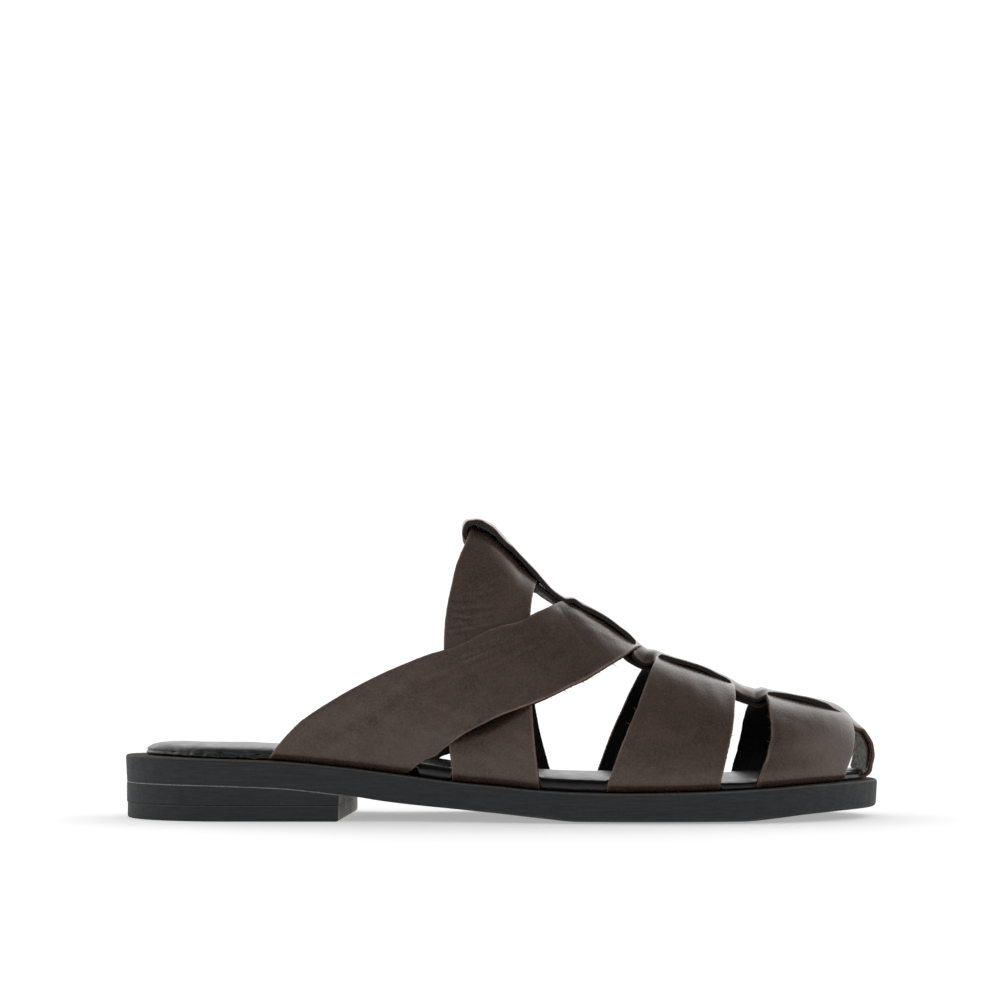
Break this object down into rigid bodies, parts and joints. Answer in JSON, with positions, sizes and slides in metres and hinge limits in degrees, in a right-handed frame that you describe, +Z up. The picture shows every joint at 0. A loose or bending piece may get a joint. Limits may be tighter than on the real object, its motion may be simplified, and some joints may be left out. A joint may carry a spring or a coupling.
{
  "type": "fisherman mule",
  "caption": "Backless leather fisherman mule with woven cross straps on a folded centre strap, a padded insole and a low stacked rubber heel.",
  "frame": {"origin": "on the floor, below the middle of the sole's length and width", "axes": "+X to the toe, +Y to the inner side of the foot, +Z up"},
  "size_m": [0.259, 0.0903, 0.1028],
  "materials": {
    "leather": "dark brown smooth leather, satin, with raw cut edges",
    "pad": "black smooth leather over foam, soft gloss",
    "rubber": "charcoal rubber, matte"
  },
  "bodies": {
    "root": {"outsole": "rubber", "heel_lift": "rubber", "heel_top_piece": "rubber", "insole": "pad", "upper": "leather"}
  },
  "joints": []
}
